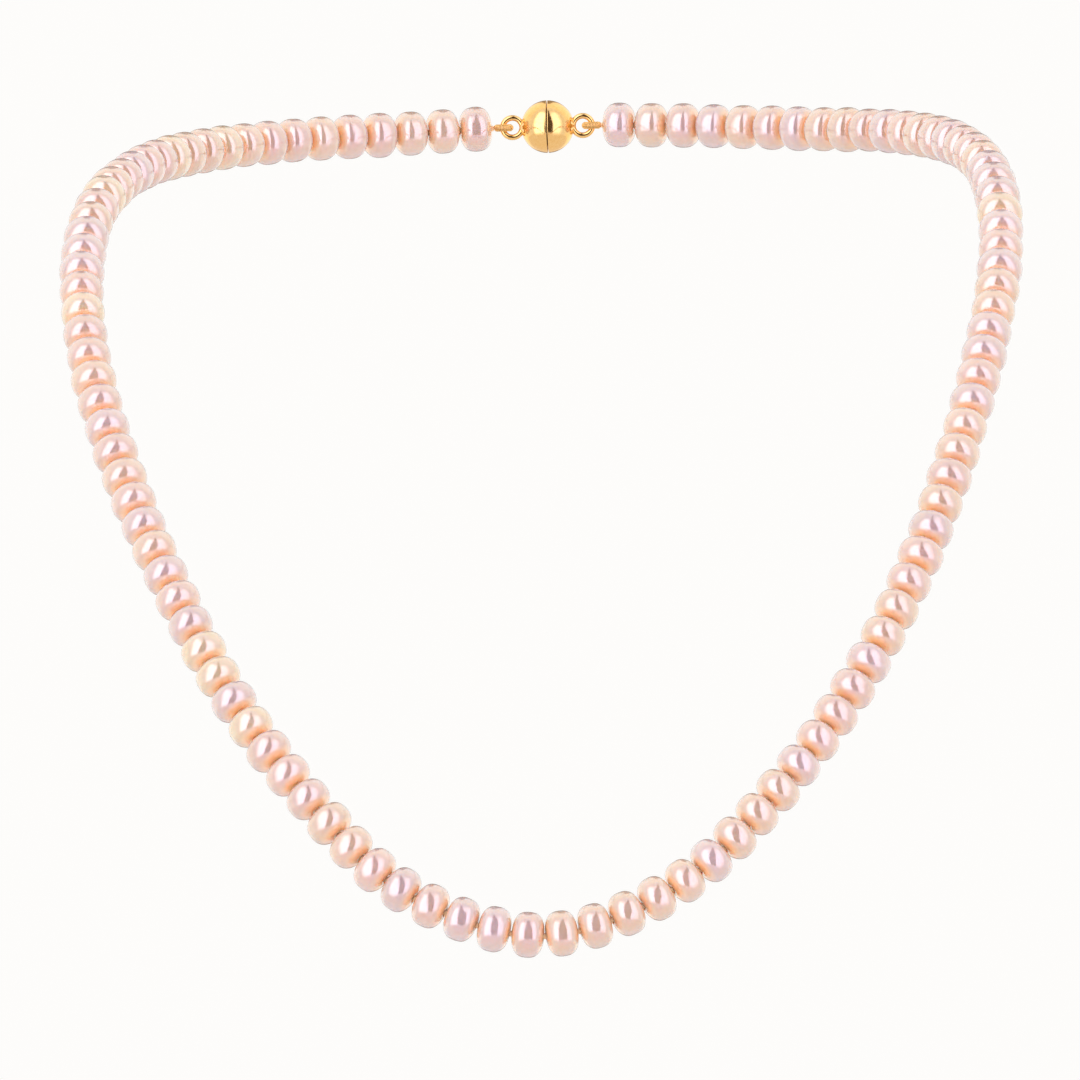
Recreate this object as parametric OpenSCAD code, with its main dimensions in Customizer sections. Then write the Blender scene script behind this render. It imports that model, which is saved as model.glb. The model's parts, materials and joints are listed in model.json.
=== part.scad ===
// Pearl necklace: a single strand of button pearls, knotted on silk, with a magnetic ball clasp.
// It is drawn as it drapes on a neck, in millimetres, with the origin at the centre of the
// neck opening at the height of the nape. +Z is up and the wearer faces -Y.
// The strand is cut at every few knots into short bodies, because a knotted strand bends there.

/* [Pearls] */
// Diameter of a pearl across its hole
pearl_d = 5.45; // [4.4:0.05:7]
// Length of a pearl along its hole
pearl_l = 3.94; // [3:0.01:5.5]
// How full the pearl's side is: 2 is an ellipse, more is squarer
pearl_fullness = 2.6; // [2:0.1:3]
// Diameter of the hole through a pearl
hole_d = 0.75; // [0.65:0.05:1]

/* [Thread] */
// Diameter of the silk thread
thread_d = 0.45; // [0.3:0.05:0.6]
// Diameter of the knot between two pearls
knot_d = 0.9; // [0.7:0.05:1.4]
// Free length between the faces of two pearls. The knot sits in the mouths of their holes.
pearl_gap = 0.2; // [0.18:0.01:0.7]
// Clearance between a knot and the mouths of the holes beside it
knot_clearance = 0.05; // [0.03:0.01:0.1]
// Clearance between a bending knot and the thread of the next section
section_clearance = 0.04; // [0.02:0.01:0.1]

/* [Sections] */
// Number of pearls in the front section
front_pearls = 8; // [4:2:12]
// Number of pearls in each section of an arm
section_pearls = 5; // [3:1:6]
// Number of sections in each arm
arm_sections = 10; // [6:1:12]

/* [Clasp] */
// Diameter of the ball clasp
ball_d = 6.5; // [5.5:0.1:9]
// Diameter of the disc magnet in each half
magnet_d = 2.2; // [1.6:0.1:2.8]
// Thickness of the disc magnet
magnet_t = 1.2; // [0.8:0.1:1.6]
// Height of the cone on the plug half
cone_h = 0.9; // [0.6:0.1:1.2]
// Width of the rim around the magnet on the cone's flat top
cone_rim = 0.35; // [0.25:0.05:0.6]
// Clearance between the two halves of the clasp
clasp_clearance = 0.12; // [0.08:0.01:0.2]
// Clearance between a magnet and the wall of its pocket
magnet_clearance = 0.04; // [0.02:0.01:0.1]

/* [Clasp loops] */
// Thickness of the wire of the soldered loop
loop_wire_d = 0.7; // [0.5:0.05:0.9]
// Diameter of the soldered loop, between the middles of its wire
loop_d = 2.4; // [2.2:0.1:3.4]
// Outside diameter of the gold bullion that covers the thread
bullion_d = 0.9; // [0.8:0.05:1.1]
// Clearance between the bullion and the thread inside it
bullion_clearance = 0.05; // [0.03:0.01:0.08]
// Clearance between the bullion and the soldered loop that it holds
link_clearance = 0.08; // [0.05:0.01:0.2]
// Free length between the last pearl and the mouth of the bullion
mouth_gap = 0.3; // [0.2:0.05:0.6]
// How deep the soldered loop sits in the ball
loop_bite = 0.25; // [0.15:0.05:0.35]

/* [Hidden] */
$fn = 48;

// One number for each section, written with two digits.
function two_digits(i) = i < 10 ? str("0", i) : str(i);
function section_name(what, side, i) = str(what, side < 0 ? "_left_" : "_right_", two_digits(i));

pearl_color = "#efcdbd";
silk_color = "#f3dccb";
gold_color = "#d9b36a";
magnet_color = "#9a9ca0";

// ---- Route of the strand ------------------------------------------------------------------
// The line through all the knots, as it lies on the collar bones, the sides of the neck and
// the nape: round numbers, from the lowest point at the front round the wearer's left side
// (+X) to the clasp at the back, and home along the other side.
ROUTE = [
    [0, -66, -97], [16, -63.5, -91], [28, -58, -79.5], [37.5, -51, -66.5], [44.5, -42.5, -53],
    [49.5, -32, -39.5], [53, -20.5, -27], [55, -7, -16], [54.5, 8, -7], [51, 24.5, -2],
    [43.5, 40.5, 0], [32, 54, 0.5], [17, 63, 1], [0, 66.5, 1],
    [-17, 64, 0], [-32, 55.5, -1], [-43, 42.5, -2.5], [-50, 26.5, -5], [-54.5, 10, -10],
    [-56, -5, -18.5], [-54.5, -18.5, -30], [-50.5, -30, -42.5], [-45, -41, -55],
    [-38, -50.5, -68], [-28.5, -58.5, -80.5], [-16.5, -64, -92]];
ROUTE_STEPS = 12; // short straight steps between two points of the route

function spline(a, b, c, d, t) =
    (2 * b + (c - a) * t + (2 * a - 5 * b + 4 * c - d) * t * t
     + (3 * b - a - 3 * c + d) * t * t * t) / 2;
function route_point(i) = ROUTE[i % len(ROUTE)];
fine_route = [for (i = [0:len(ROUTE) - 1], k = [0:ROUTE_STEPS - 1])
    spline(route_point(i + len(ROUTE) - 1), route_point(i), route_point(i + 1),
           route_point(i + 2), k / ROUTE_STEPS)];
fine_count = len(fine_route);
function fine_point(i) = fine_route[i % fine_count];
// Distance along the route to each fine point, and once more to the first one, all the way round
route_dist = [for (i = 0, s = 0; i <= fine_count;
                   s = s + norm(fine_point(i + 1) - fine_point(i)), i = i + 1) s];
route_length = route_dist[fine_count];
function route_table(axis) = [for (i = [0:fine_count]) [route_dist[i], fine_point(i)[axis]]];
route_x = route_table(0);
route_y = route_table(1);
route_z = route_table(2);

// ---- Derived sizes ------------------------------------------------------------------------
pitch = pearl_l + pearl_gap;                       // from one knot to the next
arm_pearls = section_pearls * arm_sections;
end_knot = front_pearls / 2 + arm_pearls;          // number of the last place in each arm
bullion_bore_d = thread_d + 2 * bullion_clearance;
bullion_r = loop_wire_d / 2 + link_clearance + bullion_d / 2; // middle of the bullion's bend
MOUTH_ANGLE = 32; // the bullion stops at this angle on each side of the last pearl's hole
loop_r = loop_d / 2;
// Places along the clasp's axis, measured from the last place of the arm
bullion_at = mouth_gap - pearl_gap / 2 + (bullion_r + bullion_d / 2) * cos(MOUTH_ANGLE);
loop_at = bullion_at + bullion_r - bullion_d / 2 - loop_wire_d / 2 - link_clearance + loop_r;
pole_at = loop_at + loop_r - loop_wire_d / 2 + loop_bite;
half_clasp = pole_at + ball_d / 2;
strand_length = 2 * (end_knot * pitch + half_clasp);
// The route keeps its shape and grows or shrinks with the length of the strand.
growth = strand_length / route_length;

// Place at a distance along the strand from its lowest point, positive towards +X
function strand_at(s) =
    let (u = (s / growth + route_length) % route_length)
    growth * [lookup(u, route_x), lookup(u, route_y), lookup(u, route_z)];
function knot_at(j) = strand_at(j * pitch);
// First and last knot of a section of an arm, counted from the front
function section_start(side, i) = side * (front_pearls / 2 + section_pearls * (i - 1));
function section_end(side, i) = section_start(side, i) + side * section_pearls;

// ---- Helpers ------------------------------------------------------------------------------
// Places its children with their +Z along the line from a to b, at a fraction of its length.
module along(a, b, fraction = 0.5) {
    line = (b - a) / norm(b - a);
    translate(a + (b - a) * fraction)
        rotate([0, acos(line.z), atan2(line.y, line.x)])
            children();
}

// ---- Pearls -------------------------------------------------------------------------------
PROFILE_STEPS = 16;
mouth_cone = (knot_d / 2 + knot_clearance) * sqrt(2) - pearl_gap / 2; // radius of the hole's mouth
mouth_depth = mouth_cone - hole_d / 2;
// Point of the pearl's outline, a rounded oblong, at an angle from its widest place
function outline(angle) =
    [pearl_d / 2 * pow(cos(angle), 2 / pearl_fullness),
     sign(angle) * pearl_l / 2 * pow(abs(sin(angle)), 2 / pearl_fullness)];
// Angle at which the outline has come in to the mouth of the hole
mouth_angle = acos(pow(mouth_cone / (pearl_d / 2), pearl_fullness / 2));
pearl_profile = concat(
    [[hole_d / 2, -pearl_l / 2 + mouth_depth]],
    [for (k = [0:PROFILE_STEPS]) outline(mouth_angle * (2 * k / PROFILE_STEPS - 1))],
    [[hole_d / 2, pearl_l / 2 - mouth_depth]]);

module pearl() {
    rotate_extrude() polygon(pearl_profile);
}

// The pearls between two knots, one on each straight piece of thread
module pearl_run(from, to) {
    step = sign(to - from);
    color(pearl_color)
        for (j = [from:step:to - step])
            along(knot_at(j), knot_at(j + step)) pearl();
}

// ---- Silk ---------------------------------------------------------------------------------
// A knot's poles lie on the line of the strand, where the thread goes in and out.
module knot(j) {
    before = knot_at(j - 1);
    after = knot_at(j + 1);
    translate(knot_at(j) - (before + after) / 2) along(before, after) sphere(d = knot_d);
}

module thread_piece(a, b) {
    along(a, b, 0) cylinder(d = thread_d, h = norm(b - a));
}

// Thread from just past one bending knot to the next one, with its knots
module thread_run(from, to) {
    step = sign(to - from);
    first = knot_at(from);
    second = knot_at(from + step);
    start = knot_d / 2 + section_clearance;
    thread_piece(first + (second - first) * start / norm(second - first), second);
    for (j = [from + step:step:to - step]) {
        knot(j);
        thread_piece(knot_at(j), knot_at(j + step));
    }
}

module thread_front() {
    color(silk_color) {
        for (j = [-front_pearls / 2:front_pearls / 2]) knot(j);
        for (j = [-front_pearls / 2:front_pearls / 2 - 1]) thread_piece(knot_at(j), knot_at(j + 1));
    }
}

// Every section ends in a knot, and the last one's thread goes on and turns round in the bullion.
module thread_section(side, i) {
    color(silk_color) {
        thread_run(section_start(side, i), section_end(side, i));
        knot(section_end(side, i));
        if (i == arm_sections) {
            thread_piece(clasp_point(side, 0), clasp_point(side, bullion_at - bullion_r));
            on_clasp(side, bullion_at) thread_bend();
        }
    }
}

module thread_bend() {
    rotate_extrude() translate([bullion_r, 0]) circle(d = thread_d, $fn = 24);
}

// ---- Clasp --------------------------------------------------------------------------------
clasp_end_left = knot_at(-end_knot);
clasp_end_right = knot_at(end_knot);
clasp_middle = (clasp_end_left + clasp_end_right) / 2;
clasp_line = (clasp_end_right - clasp_end_left) / norm(clasp_end_right - clasp_end_left);
// Place on the clasp's axis, measured from the arm's end towards the middle of the ball
function clasp_point(side, distance) = clasp_middle + side * clasp_line * (half_clasp - distance);

// Puts its children on the clasp's axis: their +X points from the middle of the ball to the arm.
module on_clasp(side, distance) {
    outward = side * clasp_line;
    translate(clasp_point(side, distance))
        rotate([0, -asin(outward.z), atan2(outward.y, outward.x)])
            children();
}

// A tube that is bent round the soldered loop and open towards the last pearl
module bullion(side) {
    color(gold_color)
        on_clasp(side, bullion_at)
            rotate([0, 0, MOUTH_ANGLE])
                rotate_extrude(angle = 360 - 2 * MOUTH_ANGLE)
                    translate([bullion_r, 0])
                        difference() {
                            circle(d = bullion_d, $fn = 32);
                            circle(d = bullion_bore_d, $fn = 32);
                        }
}

// An upright wire loop whose inner end is let into the ball
module soldered_loop(side) {
    color(gold_color)
        difference() {
            on_clasp(side, loop_at)
                rotate([90, 0, 0])
                    rotate_extrude()
                        translate([loop_r, 0]) circle(d = loop_wire_d, $fn = 32);
            translate(clasp_middle) sphere(d = ball_d, $fn = 96);
        }
}

pocket_d = magnet_d + 2 * magnet_clearance;
pocket_l = magnet_t + magnet_clearance;
cone_top_r = pocket_d / 2 + cone_rim;
cone_base_r = cone_top_r + cone_h;                  // the cone's side leans at 45 degrees
face_at = clasp_clearance / 2;                      // each flat face, from the middle of the ball
plug_top = face_at - cone_h;                        // the cone's flat top, in the plug's frame
seat_floor = cone_h + clasp_clearance - face_at;    // the bottom of its seat, in the cup's frame

// Outline of one half of the ball: its axis is Y here, and its flat face looks towards -Y.
module half_ball_outline() {
    intersection() {
        circle(d = ball_d, $fn = 96);
        translate([0, face_at]) square(ball_d);
    }
}

// A round pocket for a magnet, in the same outline, from y upwards
module pocket_outline(y) {
    translate([0, y - cone_h]) square([pocket_d / 2, pocket_l + cone_h]);
}

// Turns an outline about the clasp's axis, at the middle of the ball.
module turned_on_clasp(side) {
    on_clasp(side, half_clasp) rotate([0, 90, 0]) rotate_extrude() children();
}

// The half on the arm towards -X, whose cone seats in the cup
module clasp_plug() {
    color(gold_color)
        turned_on_clasp(-1)
            difference() {
                union() {
                    half_ball_outline();
                    polygon([[0, plug_top], [cone_top_r, plug_top], [cone_base_r, face_at],
                             [cone_base_r, face_at + cone_rim], [0, face_at + cone_rim]]);
                }
                pocket_outline(plug_top);
            }
}

// The half on the arm towards +X, with a seat that follows the cone at the clasp's clearance
module clasp_cup() {
    color(gold_color)
        turned_on_clasp(1)
            difference() {
                half_ball_outline();
                polygon([[0, -face_at], [cone_base_r + clasp_clearance * sqrt(2), -face_at],
                         [cone_top_r + clasp_clearance * (sqrt(2) - 1), seat_floor],
                         [0, seat_floor]]);
                pocket_outline(seat_floor);
            }
}

// A disc magnet, just clear of its pocket's floor and wall
module magnet(side, mouth) {
    color(magnet_color)
        on_clasp(side, half_clasp)
            translate([mouth + magnet_clearance / 2, 0, 0]) rotate([0, 90, 0])
                cylinder(d = magnet_d, h = magnet_t);
}

// ---- Pieces -------------------------------------------------------------------------------
pearl_run(-front_pearls / 2, front_pearls / 2);  // pearls_front
thread_front();
for (side = [-1, 1], i = [1:arm_sections]) {
    pearl_run(section_start(side, i), section_end(side, i));
    thread_section(side, i);
}
bullion(-1);  // bullion_left
bullion(1);  // bullion_right
soldered_loop(-1);  // plug_loop
soldered_loop(1);  // cup_loop
clasp_plug();
clasp_cup();
magnet(-1, plug_top);  // plug_magnet
magnet(1, seat_floor);  // cup_magnet
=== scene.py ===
# %% [markdown]
# # A strand of button pearls
# This lesson dresses a finished CAD model: a knotted strand of 108 freshwater button pearls with
# a magnetic ball clasp, draped as it lies on a neck. The CAD holds every size and every joint,
# and the work here is the look: nacre, silk, fine gold wire and a soft light tent.
#
# The first cell loads the CAD model as a fixed frame and keeps its box.

# %% Load the frame
import json

import bmesh
import bpy
import numpy as np
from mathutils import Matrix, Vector


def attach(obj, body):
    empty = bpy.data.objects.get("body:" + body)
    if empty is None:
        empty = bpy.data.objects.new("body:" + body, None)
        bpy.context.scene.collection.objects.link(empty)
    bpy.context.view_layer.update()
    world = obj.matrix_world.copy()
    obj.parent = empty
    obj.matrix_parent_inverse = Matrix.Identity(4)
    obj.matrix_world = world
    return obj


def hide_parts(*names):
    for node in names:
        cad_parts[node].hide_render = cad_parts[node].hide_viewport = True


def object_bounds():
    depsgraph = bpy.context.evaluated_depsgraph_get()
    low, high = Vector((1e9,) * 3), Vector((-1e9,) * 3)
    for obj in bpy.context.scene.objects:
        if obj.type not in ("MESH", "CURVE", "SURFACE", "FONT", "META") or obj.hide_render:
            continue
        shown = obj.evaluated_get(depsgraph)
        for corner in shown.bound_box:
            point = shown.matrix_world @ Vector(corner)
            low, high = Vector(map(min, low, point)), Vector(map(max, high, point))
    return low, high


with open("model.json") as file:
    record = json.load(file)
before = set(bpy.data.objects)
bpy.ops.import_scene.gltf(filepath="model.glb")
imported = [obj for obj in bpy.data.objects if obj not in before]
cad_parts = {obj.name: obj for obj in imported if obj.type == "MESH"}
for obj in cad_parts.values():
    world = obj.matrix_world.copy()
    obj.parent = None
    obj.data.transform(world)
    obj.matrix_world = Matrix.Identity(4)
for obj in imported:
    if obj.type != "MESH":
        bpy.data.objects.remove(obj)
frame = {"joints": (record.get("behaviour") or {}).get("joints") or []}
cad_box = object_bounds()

print("CAD box:", [tuple(round(c, 4) for c in corner) for corner in cad_box])

# %% [markdown]
# ## Colours
# A colour is easiest to choose as it looks on a screen, but a shader adds and multiplies light,
# so each one is turned into linear light first.

# %% A colour as a screen shows it, in linear light
def screen_color(red, green, blue):
    """Linear light from screen values of 0 to 255: each is divided by 255 and raised to 2.2."""
    return tuple((value / 255) ** 2.2 for value in (red, green, blue))


print(f"A screen's 128 of 255 is {screen_color(128, 128, 128)[0]:.2f} of white in linear light")

# %% [markdown]
# ## The line of the strand
# A necklace has no shape of its own: it takes the line that the collar bones and the neck give
# it. That line is a short list of round places, and a smooth curve goes through them all. The
# curve is scaled to the length that the pearls need, and then it is read by distance, because
# the knots between pearls sit at equal steps of thread.

# %% Sizes of the strand, in metres
MM = 0.001  # a millimetre, so that sizes read as a jeweller says them
PEARL_D = 5.45 * MM
PEARL_L = 3.94 * MM
PEARL_FULLNESS = 2.6
PEARL_GAP = 0.2 * MM
HOLE_D = 0.75 * MM
THREAD_D = 0.45 * MM
KNOT_D = 0.9 * MM
KNOT_CLEARANCE = 0.05 * MM
FRONT_PEARLS = 8
SECTION_PEARLS = 5
ARM_SECTIONS = 10
PITCH = PEARL_L + PEARL_GAP
END_KNOT = FRONT_PEARLS // 2 + SECTION_PEARLS * ARM_SECTIONS
print(f"{2 * END_KNOT} pearls, one every {PITCH / MM:.2f} mm")

# %% [markdown]
# The clasp fills the rest of the loop. From each arm's last knot come the bullion, the soldered
# loop that it holds, and half of the ball, and each place follows from the one before it.

# %% Sizes and places of the clasp, measured from an arm's last knot
BALL_D = 6.5 * MM
LOOP_WIRE_D = 0.7 * MM
LOOP_R = 1.2 * MM
LOOP_BITE = 0.25 * MM
LINK_CLEARANCE = 0.08 * MM
BULLION_D = 0.9 * MM
MOUTH_GAP = 0.3 * MM
MOUTH_ANGLE = np.radians(32)
BULLION_R = LOOP_WIRE_D / 2 + LINK_CLEARANCE + BULLION_D / 2
BULLION_AT = MOUTH_GAP - PEARL_GAP / 2 + (BULLION_R + BULLION_D / 2) * np.cos(MOUTH_ANGLE)
LOOP_AT = BULLION_AT + BULLION_R - BULLION_D / 2 - LOOP_WIRE_D / 2 - LINK_CLEARANCE + LOOP_R
POLE_AT = LOOP_AT + LOOP_R - LOOP_WIRE_D / 2 + LOOP_BITE
HALF_CLASP = POLE_AT + BALL_D / 2
print(f"The clasp is {2 * HALF_CLASP / MM:.2f} mm from knot to knot")

# %% [markdown]
# The line of the strand starts at its lowest point, goes round the wearer's left side to the
# nape, and comes home along the other side.

# %% Places that the strand passes through
ROUTE = MM * np.array([
    (0, -66, -97), (16, -63.5, -91), (28, -58, -79.5), (37.5, -51, -66.5), (44.5, -42.5, -53),
    (49.5, -32, -39.5), (53, -20.5, -27), (55, -7, -16), (54.5, 8, -7), (51, 24.5, -2),
    (43.5, 40.5, 0), (32, 54, 0.5), (17, 63, 1), (0, 66.5, 1),
    (-17, 64, 0), (-32, 55.5, -1), (-43, 42.5, -2.5), (-50, 26.5, -5), (-54.5, 10, -10),
    (-56, -5, -18.5), (-54.5, -18.5, -30), (-50.5, -30, -42.5), (-45, -41, -55),
    (-38, -50.5, -68), (-28.5, -58.5, -80.5), (-16.5, -64, -92)])
ROUTE_STEPS = 12  # points of the curve from each place to the next
print(len(ROUTE), "places on the route")


# %% [markdown]
# A real strand has no corners, so the places are joined by cubic pieces that share a direction
# where they meet. The whole loop is one array of closely spaced points. To find a knot, the
# distance along the loop is looked up in a running sum of its short steps.

# %% A smooth closed curve, read by distance
def smooth_loop(points, steps):
    """Between two points the curve is the cubic that leaves and arrives along the line joining
    their outer neighbours. It is worked out at equal steps, all spans at once."""
    before, here, after, beyond = (np.roll(points, k, axis=0)[:, None] for k in (1, 0, -1, -2))
    t = (np.arange(steps) / steps)[None, :, None]
    curve = (2 * here + (after - before) * t
             + (2 * before - 5 * here + 4 * after - beyond) * t ** 2
             + (3 * here - before - 3 * after + beyond) * t ** 3) / 2
    return curve.reshape(-1, 3)


loop = smooth_loop(ROUTE, ROUTE_STEPS)
loop = np.vstack([loop, loop[:1]])
loop_distance = np.append(0, np.cumsum(np.linalg.norm(np.diff(loop, axis=0), axis=1)))
growth = 2 * (END_KNOT * PITCH + HALF_CLASP) / loop_distance[-1]


def strand_at(distance):
    """Places along the strand from its lowest point, positive towards +X: the loop is looked up
    by distance and scaled about the middle of the neck."""
    along = np.mod(np.asarray(distance) / growth, loop_distance[-1])
    return growth * np.stack([np.interp(along, loop_distance, axis) for axis in loop.T], axis=-1)


knots = strand_at(PITCH * np.arange(-END_KNOT, END_KNOT + 1))


def knot_at(number):
    """The place of one knot, numbered from the front: 0 is the middle of the front section."""
    return knots[number + END_KNOT]


print(f"{len(knots) - 1} steps of {PITCH / MM:.2f} mm, loop scaled by {growth:.4f}")

# %% [markdown]
# ## Sections
# The strand bends at its knots. The CAD cuts it into 21 short bodies, a front one and ten in
# each arm, and every new piece has to ride on the body whose pearls it holds.

# %% Each section's body, and its first and last knot
sections = [("front", -FRONT_PEARLS // 2, FRONT_PEARLS // 2)]
for side, arm in ((-1, "left"), (1, "right")):
    for number in range(1, ARM_SECTIONS + 1):
        first = side * (FRONT_PEARLS // 2 + SECTION_PEARLS * (number - 1))
        sections.append((f"{arm}_{number:02d}", first, first + side * SECTION_PEARLS))
print(len(sections), "sections")

hinge_error = max(
    np.linalg.norm(knot_at(first) - np.array(joint["pos_m"]))
    for joint in frame["joints"] for body, first, last in sections if body == joint["child"])
print(f"The hinge knots are within {hinge_error / MM:.4f} mm of the CAD's joints")


# %% [markdown]
# ## Meshes from arrays
# Every new piece is a grid of points that a formula gives. Its faces join each point to the next
# one along both ways of the grid, and a grid that closes on itself wraps round. Where a ring of
# points shrinks to a pole its points are merged, so that no pin hole is left, and then all faces
# are turned outwards, because light that passes into a pearl needs to know its inside.

# %% Faces of a grid, and a mesh object from arrays
SAME_PLACE = 0.0002 * MM


def grid_faces(rows, columns, wrap_rows=False, wrap_columns=True):
    """Four-sided faces of a grid of rows by columns, numbered along the columns first."""
    row = np.arange(rows if wrap_rows else rows - 1)[:, None]
    column = np.arange(columns if wrap_columns else columns - 1)[None, :]
    next_row, next_column = (row + 1) % rows, (column + 1) % columns
    corners = [row * columns + column, row * columns + next_column,
               next_row * columns + next_column, next_row * columns + column]
    return np.stack(np.broadcast_arrays(*corners), axis=-1).reshape(-1, 4)


def joined(parts):
    """Several (points, faces) as one, with the faces renumbered."""
    starts = np.cumsum([0] + [len(points) for points, _ in parts[:-1]])
    points = np.vstack([points for points, _ in parts])
    faces = np.vstack([faces + start for (_, faces), start in zip(parts, starts)])
    return points, faces


def close_and_turn_out(mesh):
    """Merges points that lie on one another, and turns the faces of each shell outwards."""
    shell = bmesh.new()
    shell.from_mesh(mesh)
    bmesh.ops.remove_doubles(shell, verts=shell.verts, dist=SAME_PLACE)
    bmesh.ops.recalc_face_normals(shell, faces=shell.faces)
    shell.to_mesh(mesh)
    shell.free()


def make_piece(name, shape, body, slot, material, *nodes):
    """A smooth mesh of (points, faces), which rides on a body and stands for the CAD's nodes."""
    points, faces = shape
    corners = faces.shape[1]
    mesh = bpy.data.meshes.new(name)
    mesh.vertices.add(len(points))
    mesh.vertices.foreach_set("co", points.astype(np.float32).ravel())
    mesh.loops.add(faces.size)
    mesh.loops.foreach_set("vertex_index", faces.astype(np.int32).ravel())
    mesh.polygons.add(len(faces))
    mesh.polygons.foreach_set("loop_start", np.arange(len(faces), dtype=np.int32) * corners)
    mesh.update(calc_edges=True)
    mesh.polygons.foreach_set("use_smooth", np.ones(len(faces), dtype=bool))
    close_and_turn_out(mesh)
    mesh.materials.append(material)
    piece = bpy.data.objects.new(name, mesh)
    bpy.context.scene.collection.objects.link(piece)
    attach(piece, body)
    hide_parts(*nodes)
    return piece


print("A net of 3 rings of 8 points that wraps round one way has", len(grid_faces(3, 8)), "faces")

# %% [markdown]
# A pearl, a knot or a piece of thread is easiest to shape about its own middle, with the strand
# as its third axis. Three unit directions then carry it to its place with one product.

# %% Axes along a line
def axes_along(start, end):
    """Three unit directions as rows: two across the line from start to end, and one along it."""
    along = (end - start) / np.linalg.norm(end - start)
    across = np.cross((0.0, 0.0, 1.0), along)
    across = across / np.linalg.norm(across)
    return np.stack([across, np.cross(along, across), along])


print("At the front the strand runs along", axes_along(knot_at(0), knot_at(1))[2].round(2))

# %% [markdown]
# ## Nacre
# A pearl is a bead of very thin, clear layers over a tinted body. Light goes a little way in and
# comes back peach, while the layers send back a sharp reflection with a hint of lavender. In
# Blender that is one Principled shader: a tinted base with subsurface light, a high index of
# refraction for the many layers' strong reflection, a thin film for the overtone, and a clear
# coat for the gloss. The colour comes from each point of the mesh, where it holds the pearl's
# tint and a painted orange glow near the hole, and a soft noise clouds it.
#
# The helpers below build any node tree here: a node with its settings, a noise on the piece's
# own coordinates, a mix of two colours, a change of range, and a bump.

# %% Small helpers for node trees
def new_material(name):
    """A new material, its node tree and its Principled shader."""
    material = bpy.data.materials.new(name)
    material.use_nodes = True
    tree = material.node_tree
    return material, tree, tree.nodes["Principled BSDF"]


def add_node(tree, kind, **values):
    """A node of a kind, with its settings given by name and its sockets by their labels."""
    node = tree.nodes.new(kind)
    for name, value in values.items():
        if hasattr(node, name):
            setattr(node, name, value)
        else:
            node.inputs[name.replace("_", " ")].default_value = value
    return node


def add_noise(tree, size, detail=2.0):
    """Clouds on the piece's own coordinates, whose patches are about size metres across."""
    place = add_node(tree, "ShaderNodeTexCoord")
    noise = add_node(tree, "ShaderNodeTexNoise", Scale=1 / size, Detail=detail)
    tree.links.new(place.outputs["Object"], noise.inputs["Vector"])
    return noise.outputs["Fac"]


def mix_colors(tree, amount, first, second, blend_type="MIX"):
    """A Mix node for two colours. Each of the three may be a value or a socket."""
    node = add_node(tree, "ShaderNodeMix", data_type="RGBA", blend_type=blend_type)
    for number, value in ((0, amount), (6, first), (7, second)):
        socket = node.inputs[number]
        if isinstance(value, bpy.types.NodeSocket):
            tree.links.new(value, socket)
        elif isinstance(value, tuple):
            socket.default_value = (*value, 1.0)
        else:
            socket.default_value = value
    return node.outputs[2]


def remap(tree, value, low, high, to_low, to_high):
    """A value carried from one range to another, with soft ends."""
    node = add_node(tree, "ShaderNodeMapRange", interpolation_type="SMOOTHSTEP")
    tree.links.new(value, node.inputs["Value"])
    node.inputs["From Min"].default_value = low
    node.inputs["From Max"].default_value = high
    node.inputs["To Min"].default_value = to_low
    node.inputs["To Max"].default_value = to_high
    return node.outputs["Result"]


def add_bump(tree, shader, height, strength, distance):
    """Raises the surface by a height from 0 to 1, times distance in metres."""
    bump = add_node(tree, "ShaderNodeBump", Strength=strength, Distance=distance)
    tree.links.new(height, bump.inputs["Height"])
    tree.links.new(bump.outputs["Normal"], shader.inputs["Normal"])


# %% [markdown]
# Lustre is what makes a pearl: the reflections are sharp but a little soft at their edges, and
# the body under them is much darker than it seems. So the base colours are muted, the roughness
# is low and wanders slightly, and faint bumps from the growth of the layers break the edges.

# %% The nacre material
LAVENDER = screen_color(196, 168, 184)
nacre, tree, shader = new_material("nacre")
# The colour on each point is the pearl's tint plus a painted orange glow near its hole, in place of
# light bounced into the hollow between pearls
tint_and_painted_glow = add_node(tree, "ShaderNodeAttribute", attribute_name="tint_and_painted_glow")
cloud = remap(tree, add_noise(tree, 2.2 * MM), 0.35, 0.7, 0.0, 0.22)
body_and_painted_glow = mix_colors(tree, cloud, tint_and_painted_glow.outputs["Color"], LAVENDER)
tree.links.new(body_and_painted_glow, shader.inputs["Base Color"])
tree.links.new(remap(tree, add_noise(tree, 0.5 * MM, 3.0), 0.3, 0.7, 0.07, 0.12),
               shader.inputs["Roughness"])
add_bump(tree, shader, add_noise(tree, 0.9 * MM, 3.0), 0.12, 0.03 * MM)
shader.inputs["IOR"].default_value = 3.1
shader.inputs["Thin Film Thickness"].default_value = 370.0
shader.inputs["Thin Film IOR"].default_value = 1.08
shader.inputs["Subsurface Weight"].default_value = 0.85
shader.inputs["Subsurface Radius"].default_value = (1.0, 0.6, 0.4)
shader.inputs["Subsurface Scale"].default_value = 1.5 * MM
shader.inputs["Coat Weight"].default_value = 1.0
shader.inputs["Coat Roughness"].default_value = 0.04
shader.inputs["Coat IOR"].default_value = 1.5
print("nacre is a tree of", len(tree.nodes), "nodes")

# %% [markdown]
# ## Pearls
# A button pearl is a bun: round about its hole and shorter along it, with one face a little
# flatter than the other. No two are quite alike, so each gets its own small faults: a size a
# percent or two off, a side that is not quite round, a faint ring or a dimple, and a slight
# tilt on the thread. The grid runs round the pearl one way, and the other way it goes over the
# outside from one mouth of the hole to the other and comes back through the hole.

# %% The outline of a pearl, from mouth to mouth and back through the hole
AROUND = 48  # points round a pearl
OVER = 30  # points over its outside, from mouth to mouth
mouth_r = (KNOT_D / 2 + KNOT_CLEARANCE) * 2 ** 0.5 - PEARL_GAP / 2
mouth_angle = np.arccos((mouth_r / (PEARL_D / 2)) ** (PEARL_FULLNESS / 2))


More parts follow.
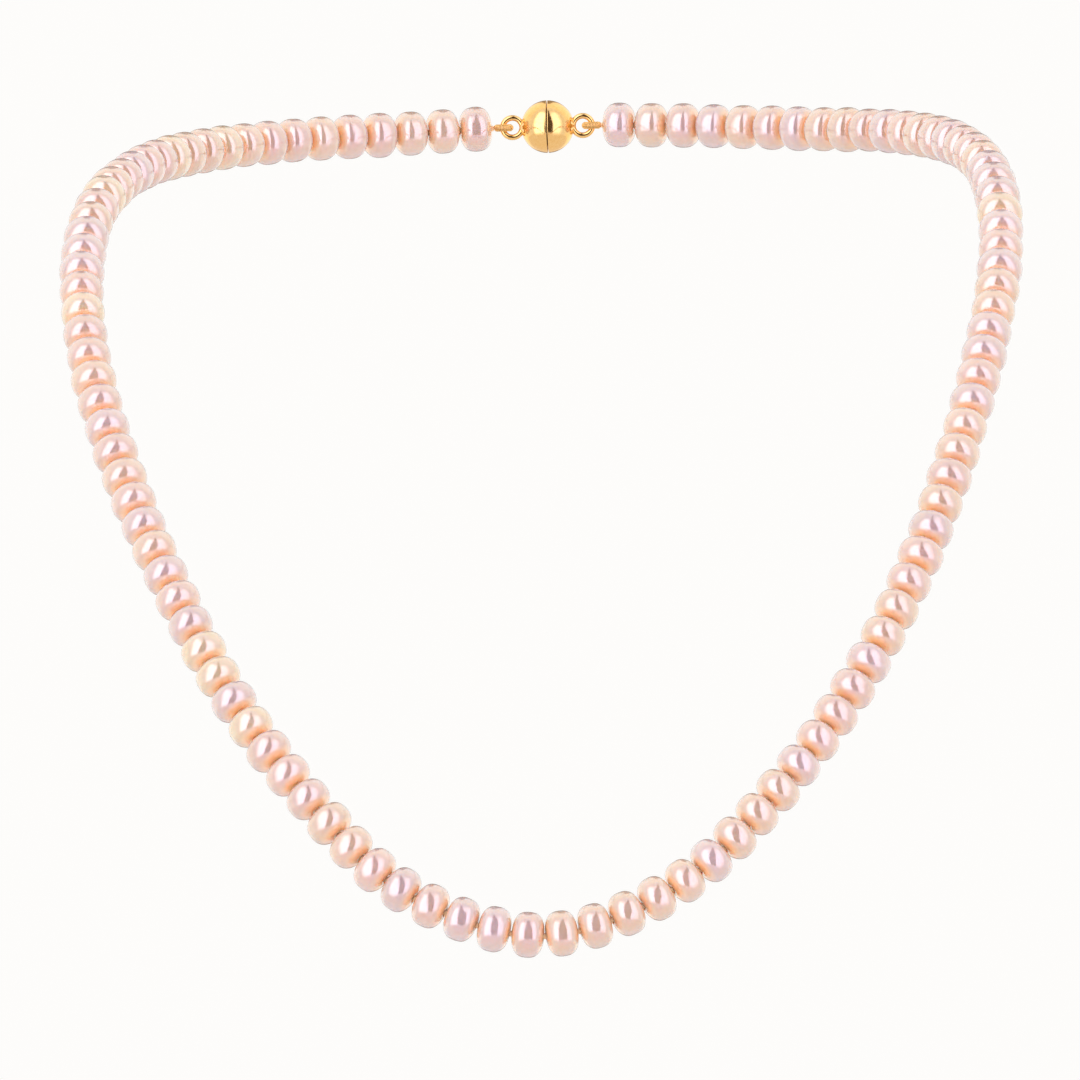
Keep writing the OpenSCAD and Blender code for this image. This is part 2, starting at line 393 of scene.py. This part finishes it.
def pearl_outline():
    """Radius and height of points on a rounded oblong: half the diameter times a power of the
    cosine, and half the length times the same power of the sine. Two more points line the hole."""
    angle = mouth_angle * np.linspace(-1, 1, OVER)
    radius = PEARL_D / 2 * np.cos(angle) ** (2 / PEARL_FULLNESS)
    height = np.sign(angle) * PEARL_L / 2 * np.abs(np.sin(angle)) ** (2 / PEARL_FULLNESS)
    inner = PEARL_L / 2 - (mouth_r - HOLE_D / 2)
    return np.append(radius, [HOLE_D / 2, HOLE_D / 2]), np.append(height, [inner, -inner])


print(f"A pearl is {PEARL_D / MM:.2f} mm across and {PEARL_L / MM:.2f} mm long, its mouths "
      f"{2 * mouth_r / MM:.2f} mm wide")

# %% [markdown]
# The faults are drawn by chance within narrow limits, and most of them are a hundredth of the
# pearl's size. They are small, but they are what the eye reads as grown and not cast.

# %% One pearl with its own faults

def pearl_points(random):
    """Points of one pearl about its own middle. The outline is turned about the hole, and then
    the radius is multiplied by 1 plus a few small waves and less a dimple or a ring."""
    radius, height = (values[:, None] for values in pearl_outline())
    turn = (2 * np.pi / AROUND * np.arange(AROUND))[None, :]
    skin = (np.arange(OVER + 2) < OVER)[:, None]
    high = height / (PEARL_L / 2)
    bulge = 1 + random.uniform(-0.015, 0.02)
    bulge = bulge + 0.016 * random.uniform(0.3, 1) * np.cos(2 * (turn - random.uniform(0, np.pi)))
    bulge = bulge + 0.006 * np.cos(3 * turn + random.uniform(0, 6)) * (1 - high ** 2)
    ring_place, ring_depth = random.uniform(-0.7, 0.7), random.choice([0, 0, 0.006, 0.012])
    bulge = bulge - ring_depth * np.exp(-((high - ring_place) / 0.09) ** 2)
    for _ in range(random.integers(0, 3)):
        dip_turn, dip_high = random.uniform(0, 2 * np.pi), random.uniform(-0.6, 0.6)
        apart = (2 - 2 * np.cos(turn - dip_turn)) + (high - dip_high) ** 2
        bulge = bulge - random.uniform(0.004, 0.014) * np.exp(-apart / random.uniform(0.015, 0.06))
    r = radius * np.where(skin, bulge, 1)
    lean = random.uniform(-0.012, 0.012)
    z = height * np.where(skin, 0.995 + lean * np.sign(height), 0.98) + 0 * turn
    return np.stack([r * np.cos(turn), r * np.sin(turn), z], axis=-1)


# %% [markdown]
# A strand is matched by eye, but the tints still wander: mostly peach, many pink or lavender,
# and now and then a cream one. Near each mouth of the hole the colour is warmed to orange: a
# painted glow in place of the light that two pearls bounce into the hollow between them.

# %% Tints of the pearls, as linear colours
TINTS = {"peach": screen_color(190, 164, 148), "pink": screen_color(188, 160, 153),
         "lavender": screen_color(182, 160, 162), "cream": screen_color(194, 174, 150)}
TINT_NAMES = ["peach"] * 4 + ["pink"] * 4 + ["lavender"] * 3 + ["cream"]
# Painted glow: the orange that light bounced between two pearls gives their hollow, painted into the
# colour near the hole
PAINTED_HOLLOW_GLOW = np.array(screen_color(250, 200, 148))


def pearl_colors(random, points):
    """One tint for the pearl, a little brighter or darker, and a painted orange glow near the hole.
    """
    base = np.array(TINTS[random.choice(TINT_NAMES)]) * random.uniform(0.97, 1.03)
    toward_end = np.abs(points[..., 2:]) / (PEARL_L / 2)
    # painted glow: the colour turns orange over the outer ends, towards the mouths of the hole
    painted_glow = 0.9 * np.clip((toward_end - 0.6) / 0.35, 0, 1) ** 1.5
    return base * (1 - painted_glow) + PAINTED_HOLLOW_GLOW * painted_glow


print("In every", len(TINT_NAMES), "pearls about", TINT_NAMES.count("peach"), "are peach")

# %% [markdown]
# The hole is a little wider than the silk, so no pearl sits quite square on the strand. A lean
# of a degree or so shows in the reflections, and it keeps clear of the neighbours.

# %% A slight lean on the thread

LEAN = 1.4  # degrees


def tilted(random, axes):
    """The same axes, leaning by up to LEAN degrees each way."""
    lean = np.radians(random.uniform(-LEAN, LEAN, 2))
    along = axes[2] + axes[0] * lean[0] + axes[1] * lean[1]
    return axes_along(np.zeros(3), along)


# %% [markdown]
# Each pearl's colour has to differ from its neighbour's, and the painted glow near the hole changes
# it over one pearl too.
# An attribute holds one colour for each point of the mesh, and the nacre material reads it.

# %% Colours on the points of a mesh
def add_tint_and_painted_glow(piece, colors):
    """Writes one linear colour for each point, in the order of the points."""
    tint_and_painted_glow = piece.data.attributes.new("tint_and_painted_glow", "FLOAT_COLOR", "POINT")
    opaque = np.ones((len(colors), 1))
    tint_and_painted_glow.data.foreach_set("color", np.hstack([colors, opaque]).astype(np.float32).ravel())


# %% [markdown]
# Now the whole strand can be made. Every pearl has its own seed, so a change to one leaves the
# others as they are, and the same strand comes out each time.

# %% All the pearls, one piece for each section
FIRST_SEED = 1000
LEFT_SEED = 500  # added on the left arm, so that the arms are not mirror images
pearl_faces = grid_faces(OVER + 2, AROUND, wrap_rows=True)
for body, first, last in sections:
    step = 1 if last > first else -1
    parts = []
    colors = []
    for number in range(first, last, step):
        seed = FIRST_SEED + number * step + (LEFT_SEED if step < 0 else 0)
        random = np.random.default_rng(seed)
        start, end = knot_at(number), knot_at(number + step)
        pearl = pearl_points(random)
        colors.append(pearl_colors(random, pearl).reshape(-1, 3))
        placed = pearl.reshape(-1, 3) @ tilted(random, axes_along(start, end)) + (start + end) / 2
        parts.append((placed, pearl_faces))
    piece = make_piece(f"nacre_{body}", joined(parts), body, "pearl", nacre, f"pearls_{body}")
    add_tint_and_painted_glow(piece, np.vstack(colors))
print("pearls have", len(pearl_faces) * 2, "triangles each")

# %% [markdown]
# ## Silk
# The thread is two plies of silk, twisted. A round tube would look like wire, so the radius
# rises and falls twice round the thread and the pattern turns as it goes along. A knot is an
# overhand knot: a short, fat tube that follows a three-lobed closed curve.

# %% The silk material
silk, tree, shader = new_material("silk")
fibre = add_noise(tree, 0.05 * MM, 4.0)
silk_color = mix_colors(tree, fibre, screen_color(252, 205, 155), screen_color(255, 230, 190))
tree.links.new(silk_color, shader.inputs["Base Color"])
add_bump(tree, shader, fibre, 0.4, 0.02 * MM)
shader.inputs["Roughness"].default_value = 0.55
shader.inputs["Sheen Weight"].default_value = 0.4
print("silk is a tree of", len(tree.nodes), "nodes")


# %% [markdown]
# Both thread and knot are tubes, so one function makes the rings of any tube. Between two pearls
# the thread is short and straight. The knot follows a trefoil, which is an overhand knot whose
# ends have been joined, small enough to sit in the mouths of the two holes beside it.

# %% Twisted thread and knots
def tube_points(path, across, also_across, radius, sides):
    """Rings of points round a path. Each ring is the path's point plus radius times the cosine
    across and the sine also across."""
    turn = 2 * np.pi / sides * np.arange(sides)
    ring = (np.cos(turn)[None, :, None] * across[:, None]
            + np.sin(turn)[None, :, None] * also_across[:, None])
    return path[:, None] + ring * np.broadcast_to(radius, (len(path), sides))[..., None]


def closed_tube(path, radius, sides):
    """A tube that follows a closed path. Its rings stand square to the path, and across them one
    direction points away from the path's middle."""
    forward = np.roll(path, -1, axis=0) - np.roll(path, 1, axis=0)
    forward /= np.linalg.norm(forward, axis=1, keepdims=True)
    outward = path - path.mean(axis=0)
    across = np.cross(forward, outward)
    across /= np.linalg.norm(across, axis=1, keepdims=True)
    points = tube_points(path, np.cross(across, forward), across, radius, sides)
    return points.reshape(-1, 3), grid_faces(len(path), sides, wrap_rows=True)


PLY_TURN = 0.9 * MM  # length of thread in which a ply goes once round
THREAD_SIDES = 10
THREAD_RINGS = 19


def thread_points(start, end):
    """A straight thread whose radius is 0.86 plus 0.14 times a wave with two crests round it,
    which turns with the distance. Its first and last rings shrink to a point."""
    axes = axes_along(start, end)
    length = np.linalg.norm(end - start)
    distance = np.linspace(0, length, THREAD_RINGS)
    turn = 2 * np.pi / THREAD_SIDES * np.arange(THREAD_SIDES)
    wave = np.cos(2 * turn[None, :] - 2 * np.pi * distance[:, None] / PLY_TURN * 2)
    radius = THREAD_D / 2 * (0.86 + 0.14 * wave)
    radius[[0, -1]] = 0
    path = start + distance[:, None] * axes[2]
    ones = np.ones((len(path), 1))
    points = tube_points(path, axes[0] * ones, axes[1] * ones, radius, THREAD_SIDES)
    return points.reshape(-1, 3), grid_faces(len(path), THREAD_SIDES)


KNOT_R = 0.19 * MM  # from the thread's line to the tube's middle, at the end of a lobe
KNOT_RINGS = 30
KNOT_SIDES = 7


def knot_points(number):
    """An overhand knot about one place: two turns round the thread's line while it goes three
    times in and out, drawn as small as a knot between two pearls."""
    t = 2 * np.pi / KNOT_RINGS * np.arange(KNOT_RINGS)
    trefoil = np.stack([(np.sin(t) + 2 * np.sin(2 * t)) / 3, (np.cos(t) - 2 * np.cos(2 * t)) / 3,
                        -0.45 * np.sin(3 * t)], axis=-1) * KNOT_R
    before, after = knot_at(max(number - 1, -END_KNOT)), knot_at(min(number + 1, END_KNOT))
    points, faces = closed_tube(trefoil, THREAD_D * 0.45, KNOT_SIDES)
    return points @ axes_along(before, after) + knot_at(number), faces


print("one step of thread has", THREAD_RINGS * THREAD_SIDES, "points, a knot",
      KNOT_RINGS * KNOT_SIDES)

# %% [markdown]
# Each section carries the knots after its own pearls, and the thread through them. The knot that
# a section bends about belongs to the section before it, so the thread starts a hair past it.

# %% The silk of each section, kept in a list until the ends are added
SECTION_CLEARANCE = 0.04 * MM
START_GAP = KNOT_D / 2 + SECTION_CLEARANCE
silk_parts = {}
for body, first, last in sections:
    step = 1 if last > first else -1
    parts = [knot_points(number) for number in range(first + step, last + step, step)]
    if body == "front":
        parts.append(knot_points(first))
    for number in range(first, last, step):
        start, end = knot_at(number), knot_at(number + step)
        if number == first and body != "front":
            start = start + (end - start) * START_GAP / np.linalg.norm(end - start)
        parts.append(thread_points(start, end))
    silk_parts[body] = parts
print(sum(len(parts) for parts in silk_parts.values()), "knots and lengths of thread")

# %% [markdown]
# ## The clasp
# At the nape the thread turns round a soldered wire loop, inside a sleeve of bullion: very fine
# gold wire wound as a coil, so that the loop can't cut the silk. Each loop is soldered to one
# half of a ball, and the halves meet as a cone in a seat with a disc magnet in each.

# %% The clasp's own line
clasp_middle = (knot_at(-END_KNOT) + knot_at(END_KNOT)) / 2
clasp_line = knot_at(END_KNOT) - knot_at(-END_KNOT)
clasp_line /= np.linalg.norm(clasp_line)


def clasp_axes(side):
    """Rows: outwards to the arm on that side, level across, and up."""
    outward = side * clasp_line
    level = np.cross((0.0, 0.0, 1.0), outward)
    level /= np.linalg.norm(level)
    return np.stack([outward, level, np.cross(outward, level)])


def on_clasp(side, distance, points):
    """Carries points from the clasp's own axes to their place, distance in from the last knot."""
    return points @ clasp_axes(side) + clasp_middle + side * clasp_line * (HALF_CLASP - distance)


print("The clasp's middle is at", (clasp_middle / MM).round(1), "mm")

# %% [markdown]
# Gold plate is a mirror with a warm colour, and a flawless mirror looks like plastic. Fine
# handling marks make it duller in streaks, so one noise drives its colour, roughness and bump.
# The bullion's wire is too thin to show marks, so it gets a finer grain and a softer shine.

# %% Gold materials
def new_gold(name, grain, roughness, bump):
    """Gold plate with fine scratches: the grain makes it duller and lighter in streaks."""
    material, tree, shader = new_material(name)
    streaks = add_noise(tree, grain, 5.0)
    color = mix_colors(tree, streaks, screen_color(226, 178, 104), screen_color(246, 212, 150))
    tree.links.new(color, shader.inputs["Base Color"])
    tree.links.new(remap(tree, streaks, 0.3, 0.7, roughness * 0.7, roughness * 1.4),
                   shader.inputs["Roughness"])
    add_bump(tree, shader, streaks, 0.15, bump)
    shader.inputs["Metallic"].default_value = 1.0
    return material


gold = new_gold("polished_gold", 0.3 * MM, 0.12, 0.01 * MM)
bullion_gold = new_gold("bullion_wire", 0.08 * MM, 0.25, 0.01 * MM)
print("made", gold.name, "and", bullion_gold.name)

# %% [markdown]
# Bullion looks like a gold tube from afar and like a spring close to. It could be a tube with a
# striped bump, but its outline is ribbed too, so it is wound here as a real coil: a thin wire
# that circles the bent thread thirty-four times.

# %% Bullion: a coil wound along the bend
BULLION_WIRE_D = 0.13 * MM
BULLION_TURNS = 34
BULLION_RINGS = 12  # rings of points in each turn
BULLION_SIDES = 6


def bullion_points():
    """A fine wire that winds round the bent thread. Its path is the bend's circle plus a small
    circle that turns many times on the way, and the wire is a tube about that path."""
    t = np.linspace(0, 1, BULLION_TURNS * BULLION_RINGS)
    bend = MOUTH_ANGLE + (2 * np.pi - 2 * MOUTH_ANGLE) * t
    wind = 2 * np.pi * BULLION_TURNS * t
    coil_r = (BULLION_D - BULLION_WIRE_D) / 2
    outward = np.stack([np.cos(bend), np.sin(bend), 0 * bend], axis=-1)
    upward = np.array((0.0, 0.0, 1.0)) * np.ones((len(t), 1))
    across = np.cos(wind)[:, None] * outward + np.sin(wind)[:, None] * upward
    path = BULLION_R * outward + coil_r * across
    forward = np.gradient(path, axis=0)
    forward /= np.linalg.norm(forward, axis=1, keepdims=True)
    also_across = np.cross(forward, across)
    radius = np.full((len(t), BULLION_SIDES), BULLION_WIRE_D / 2)
    radius[[0, -1]] = 0
    points = tube_points(path, across, also_across, radius, BULLION_SIDES)
    return points.reshape(-1, 3), grid_faces(len(t), BULLION_SIDES)


def ring_points(radius, wire_d, steps, sides):
    """A wire ring in the plane of its first two axes."""
    turn = 2 * np.pi / steps * np.arange(steps)
    path = radius * np.stack([np.cos(turn), np.sin(turn), 0 * turn], axis=-1)
    return closed_tube(path, wire_d / 2, sides)


# %% [markdown]
# Inside the bullion the silk turns once round the loop, after a short straight leg from the last
# knot. Both are added to the last section's silk, and then every section's silk becomes a piece.

# %% The bullion in its place, and all the silk
for side, arm in ((-1, "left"), (1, "right")):
    body = f"{arm}_{ARM_SECTIONS:02d}"
    points, faces = bullion_points()
    coil = (on_clasp(side, BULLION_AT, points), faces)
    make_piece(f"bullion_coil_{arm}", coil, body, "bullion", bullion_gold, f"bullion_{arm}")
    points, faces = ring_points(BULLION_R, THREAD_D, 40, 8)
    silk_parts[body].append((on_clasp(side, BULLION_AT, points), faces))
    start, end = (on_clasp(side, place, np.zeros(3)) for place in (0, BULLION_AT - BULLION_R))
    silk_parts[body].append(thread_points(start, end))
print("each bullion winds", BULLION_TURNS, "times")

for body, parts in silk_parts.items():
    make_piece(f"silk_{body}", joined(parts), body, "silk", silk, f"thread_{body}")
print(len(silk_parts), "pieces of silk")

# %% [markdown]
# The loops are plain rings of round wire, each let a little way into the ball. They stand
# upright and the bullion lies level, so that one passes through the other as links do.

# %% Soldered loops
UPRIGHT = np.array([(1.0, 0.0, 0.0), (0.0, 0.0, 1.0), (0.0, -1.0, 0.0)])
for side, arm, name in ((-1, "left", "plug_loop"), (1, "right", "cup_loop")):
    points, faces = ring_points(LOOP_R, LOOP_WIRE_D, 64, 16)
    ring = (on_clasp(side, LOOP_AT, points @ UPRIGHT), faces)
    make_piece(f"{name}_wire", ring, f"{arm}_{ARM_SECTIONS:02d}", "gold", gold, name)
print(f"each loop is {2 * LOOP_R / MM:.1f} mm across, of {LOOP_WIRE_D / MM:.1f} mm wire")

# %% [markdown]
# The two halves of the ball are turned on a lathe. Their outline is a list of a few corners, and
# each corner is rounded a little, because a sharp edge never catches the light on a real piece.
# Where the loop enters the ball, a low mound of solder closes the joint.

# %% A lathe for the clasp's halves
CLEARANCE = 0.12 * MM  # between the closed halves
MAGNET_D = 2.2 * MM
MAGNET_T = 1.2 * MM
MAGNET_CLEARANCE = 0.04 * MM
CONE_H = 0.9 * MM
CONE_RIM = 0.35 * MM
pocket_r = MAGNET_D / 2 + MAGNET_CLEARANCE
cone_top_r = pocket_r + CONE_RIM
cone_base_r = cone_top_r + CONE_H
face_at = CLEARANCE / 2
plug_top = face_at - CONE_H
seat_floor = CONE_H + CLEARANCE - face_at
pocket_l = MAGNET_T + MAGNET_CLEARANCE
EDGE = 0.06 * MM  # length that each corner's rounding takes from its two sides
SOLDER_H = 0.18 * MM
SOLDER_R = 0.55 * MM


def rounded_outline(corners, edge):
    """Outline through corners given as (along, radius), with each corner replaced by three
    points of a curve that starts and ends one edge's length away from it."""
    corners = np.array(corners)
    outline = [corners[0]]
    for before, here, after in zip(corners[:-2], corners[1:-1], corners[2:]):
        back, on = before - here, after - here
        start = here + back * min(edge / np.linalg.norm(back), 0.4)
        end = here + on * min(edge / np.linalg.norm(on), 0.4)
        outline += [start, (start + 2 * here + end) / 4, end]
    return np.array([*outline, corners[-1]])


def lathe_points(outline, sides):
    """The outline turned about the first axis. Its ends lie on the axis."""
    turn = 2 * np.pi / sides * np.arange(sides)
    along, radius = outline.T
    points = np.stack([along[:, None] + 0 * turn, radius[:, None] * np.cos(turn),
                       radius[:, None] * np.sin(turn)], axis=-1)
    return points.reshape(-1, 3), grid_faces(len(outline), sides)


def ball_arc(steps=32):
    """Points of the ball from the edge of the flat face to the pole. The solder's height is a
    bell curve of the distance from the axis."""
    angle = np.linspace(np.arccos(face_at / (BALL_D / 2)), 0, steps)
    radius = BALL_D / 2 * np.sin(angle)
    along = BALL_D / 2 * np.cos(angle) + SOLDER_H * np.exp(-(radius / SOLDER_R) ** 2)
    return list(zip(along, radius))


plug_corners = [(plug_top + pocket_l, 0), (plug_top + pocket_l, pocket_r), (plug_top, pocket_r),
                (plug_top, cone_top_r), (face_at, cone_base_r), *ball_arc()]
seat_r = cone_base_r + CLEARANCE * (2 ** 0.5 - 1)
cup_corners = [(seat_floor + pocket_l, 0), (seat_floor + pocket_l, pocket_r),
               (seat_floor, pocket_r), (seat_floor, cone_top_r + CLEARANCE * (2 ** 0.5 - 1)),
               (face_at, seat_r), *ball_arc()]
magnet_corners = [(0, 0), (0, MAGNET_D / 2), (MAGNET_T, MAGNET_D / 2), (MAGNET_T, 0)]
print(f"the cone is {2 * cone_base_r / MM:.2f} mm across, its seat {2 * seat_r / MM:.2f} mm")

# %% [markdown]
# The magnets are discs of neodymium, which rusts, so they are plated with nickel: a grey metal,
# a little yellow beside chrome, with a fine satin grain. They show only when the clasp is open.

# %% The magnets' nickel plate
nickel, tree, shader = new_material("nickel_plate")
grain = add_noise(tree, 0.4 * MM, 4.0)
nickel_color = mix_colors(tree, grain, screen_color(176, 178, 182), screen_color(206, 206, 208))
tree.links.new(nickel_color, shader.inputs["Base Color"])
tree.links.new(remap(tree, grain, 0.3, 0.7, 0.18, 0.34), shader.inputs["Roughness"])
shader.inputs["Metallic"].default_value = 1.0
print(nickel.name, "is a tree of", len(tree.nodes), "nodes")

# %% [markdown]
# Plug, cup and magnets all come off the same lathe. The outline's first number is the distance
# from the middle of the ball, so each piece needs only its side of the clasp to find its place.

# %% The plug, the cup and their magnets
for side, arm, half, corners, mouth in ((-1, "left", "plug", plug_corners, plug_top),
                                        (1, "right", "cup", cup_corners, seat_floor)):
    body = f"{arm}_{ARM_SECTIONS:02d}"
    points, faces = lathe_points(rounded_outline(corners, EDGE), 96)
    turned = (on_clasp(side, HALF_CLASP, points), faces)
    make_piece(f"ball_{half}", turned, body, "gold", gold, f"clasp_{half}")
    points, faces = lathe_points(rounded_outline(magnet_corners, EDGE), 64)
    points[:, 0] += mouth + MAGNET_CLEARANCE / 2
    turned = (on_clasp(side, HALF_CLASP, points), faces)
    make_piece(f"magnet_{half}", turned, body, "magnet", nickel, f"{half}_magnet")
    print(f"the {half} is {BALL_D / MM:.1f} mm across, its magnet {MAGNET_D / MM:.1f} mm")

# %% [markdown]
# ## A light tent
# Pearls look their best in a tent of white cloth, with a slot at the front for the camera. The
# pearl shows the whole tent: a bright panel on the left, a softer one on the right, and the slot
# as a dark upright bar between them. The world is painted as that tent by direction. The slot is
# dark only in a first reflection, because a real one is too small to shade the strand's creases.

# %% Two steps of arithmetic on angles
def math_node(tree, operation, *values):
    """One step of arithmetic. Each value may be a number or a socket."""
    node = add_node(tree, "ShaderNodeMath", operation=operation)
    for socket, value in zip(node.inputs, values):
        if isinstance(value, bpy.types.NodeSocket):
            tree.links.new(value, socket)
        else:
            socket.default_value = value
    return node.outputs[0]


def band(tree, angle, low, high, soft):
    """1 where an angle in degrees is between low and high, and 0 past them, with soft edges."""
    rising = remap(tree, angle, low - soft, low + soft, 0.0, 1.0)
    falling = remap(tree, angle, high - soft, high + soft, 1.0, 0.0)
    return math_node(tree, "MULTIPLY", rising, falling)


def panel(tree, turn, turns, rise, rises, soft):
    """1 inside a panel of the tent, given by the turns and rises of its edges."""
    return math_node(tree, "MULTIPLY", band(tree, turn, *turns, soft), band(tree, rise, *rises, soft))


# %% [markdown]
# A direction is read as two angles: how far it turns from the camera, and how far it rises above
# the level. Every part of the tent is then a plain range of those two angles. Two softer windows
# with a seam between them stand behind, so that the strand keeps its lustre seen from the back.

# %% The world: a tent with a slot
world = bpy.data.worlds.new("light_tent")
bpy.context.scene.world = world
world.use_nodes = True
tree = world.node_tree
tree.nodes.clear()

place = add_node(tree, "ShaderNodeTexCoord")
direction = add_node(tree, "ShaderNodeSeparateXYZ")
tree.links.new(place.outputs["Generated"], direction.inputs[0])
x, y, z = (direction.outputs[name] for name in ("X", "Y", "Z"))
DEGREES = 180 / np.pi
toward_camera = math_node(tree, "MULTIPLY", y, -1.0)
turn = math_node(tree, "MULTIPLY", math_node(tree, "ARCTAN2", x, toward_camera), DEGREES)
rise = math_node(tree, "MULTIPLY", math_node(tree, "ARCSINE", z), DEGREES)

TENT = (1.05, 1.03, 1.10)
TENT_BEHIND = (1.31, 1.18, 1.0)
BACK_WINDOWS = (1.46, 1.31, 1.12)
BACK_SEAM = (0.4, 0.32, 0.25)
TABLE = (1.02, 0.92, 0.86)
LEFT_PANEL = (2.65, 2.6, 2.72)
RIGHT_PANEL = (2.1, 2.02, 2.24)
SLOT = (0.10, 0.07, 0.05)
TABLE_EDGE = -27
TENT_TOP = 60
LEFT_TURNS = (-62, -15)
RIGHT_TURNS = (20, 62)
WINDOW_TURNS = (122, 158)
SEAM_TURNS = (169, 200)  # both sides of straight behind, which is at 180

aside = math_node(tree, "ABSOLUTE", turn)
behind = remap(tree, aside, 75, 110, 0.0, 1.0)
cloth = mix_colors(tree, behind, TENT, TENT_BEHIND)
above_table = remap(tree, rise, TABLE_EDGE - 1.5, TABLE_EDGE + 1.5, 0.0, 1.0)
tent = mix_colors(tree, above_table, TABLE, cloth)
left = panel(tree, turn, LEFT_TURNS, rise, (TABLE_EDGE, TENT_TOP), 10)
right = panel(tree, turn, RIGHT_TURNS, rise, (TABLE_EDGE, TENT_TOP), 12)
tent = mix_colors(tree, left, tent, LEFT_PANEL)
tent = mix_colors(tree, right, tent, RIGHT_PANEL)
windows = panel(tree, aside, WINDOW_TURNS, rise, (TABLE_EDGE, TENT_TOP), 9)
seam = panel(tree, aside, SEAM_TURNS, rise, (TABLE_EDGE, TENT_TOP), 3)
tent = mix_colors(tree, windows, tent, BACK_WINDOWS)
tent = mix_colors(tree, seam, tent, BACK_SEAM)
print("the tent is a tree of", len(tree.nodes), "nodes")

# %% [markdown]
# The slot leans in towards its top, because the cloth is pinched together over the camera. What
# the camera sees past the strand is plain and pale, whatever the tent looks like there.

# %% The slot, and the plain background
SLOT_TURN = 5
SLOT_TOP = 76
FIRST_REFLECTION = 2.5  # a mirrored ray that meets the world below this depth met one surface
BACKGROUND = (0.985, 0.975, 0.96)

slot_half = remap(tree, rise, 0, 80, 19, 8)  # half its width: 19 degrees low down, 8 at the top
off_middle = math_node(tree, "ABSOLUTE", math_node(tree, "SUBTRACT", turn, SLOT_TURN))
past_edge = math_node(tree, "SUBTRACT", off_middle, slot_half)
slot = math_node(tree, "MULTIPLY", band(tree, past_edge, -90, 0, 1.5),
                 band(tree, rise, TABLE_EDGE, SLOT_TOP, 2.5))
path = add_node(tree, "ShaderNodeLightPath")
first_bounce = math_node(tree, "LESS_THAN", path.outputs["Ray Depth"],
                         FIRST_REFLECTION)
mirrored = math_node(tree, "MULTIPLY", path.outputs["Is Glossy Ray"], first_bounce)
slot_seen = math_node(tree, "MULTIPLY", slot, mirrored)
tent = mix_colors(tree, slot_seen, tent, SLOT)

seen = mix_colors(tree, path.outputs["Is Camera Ray"], tent, BACKGROUND)
emit = add_node(tree, "ShaderNodeBackground")
output = add_node(tree, "ShaderNodeOutputWorld")
tree.links.new(seen, emit.inputs["Color"])
tree.links.new(emit.outputs[0], output.inputs[0])
print(world.name, "is complete, with", len(tree.nodes), "nodes")

# %% [markdown]
# ## Floor
# The strand is held up by a neck, so the plain pale floor lies a little way below it. It stays
# out of the pearls' reflections, where the tent's own table takes its place.

# %% The floor
FLOOR_Z = cad_box[0].z - 60 * MM
FLOOR_SIZE = 3.0
FLOOR_GRAIN = 0.05
floor_mesh = bpy.data.meshes.new("floor")
corner = FLOOR_SIZE / 2
floor_mesh.from_pydata([(-corner, -corner, FLOOR_Z), (corner, -corner, FLOOR_Z),
                        (corner, corner, FLOOR_Z), (-corner, corner, FLOOR_Z)], [], [(0, 1, 2, 3)])
floor = bpy.data.objects.new("floor", floor_mesh)
bpy.context.scene.collection.objects.link(floor)
paper, tree, shader = new_material("floor_paper")
tree.links.new(mix_colors(tree, add_noise(tree, FLOOR_GRAIN), screen_color(250, 247, 243),
                          screen_color(252, 250, 247)), shader.inputs["Base Color"])
shader.inputs["Roughness"].default_value = 0.8
floor_mesh.materials.append(paper)
floor.visible_glossy = False
print(f"the floor lies {-FLOOR_Z / MM:.0f} mm below the nape")

# %% [markdown]
# ## Camera
# The camera looks level from the front with a very long lens, which keeps the pearls at the back
# of the neck as large as those in front. Its distance follows from the width of the picture.

# %% The camera
PICTURE_WIDTH = 131.8 * MM
LENS = 1400.0  # millimetres, as a camera's maker gives it
SENSOR = 36.0
target = Vector((-0.6 * MM, 0.0, -50.2 * MM))
camera_data = bpy.data.cameras.new("camera")
camera_data.lens = LENS
camera_data.sensor_width = SENSOR
camera_data.clip_end = 100.0
camera = bpy.data.objects.new("camera", camera_data)
bpy.context.scene.collection.objects.link(camera)
camera.location = target - Vector((0.0, PICTURE_WIDTH * LENS / SENSOR, 0.0))
camera.rotation_euler = (np.pi / 2, 0.0, 0.0)
bpy.context.scene.camera = camera
bpy.context.scene.view_settings.view_transform = "Standard"
print(f"the camera stands {(target - camera.location).length:.2f} m in front of the strand")
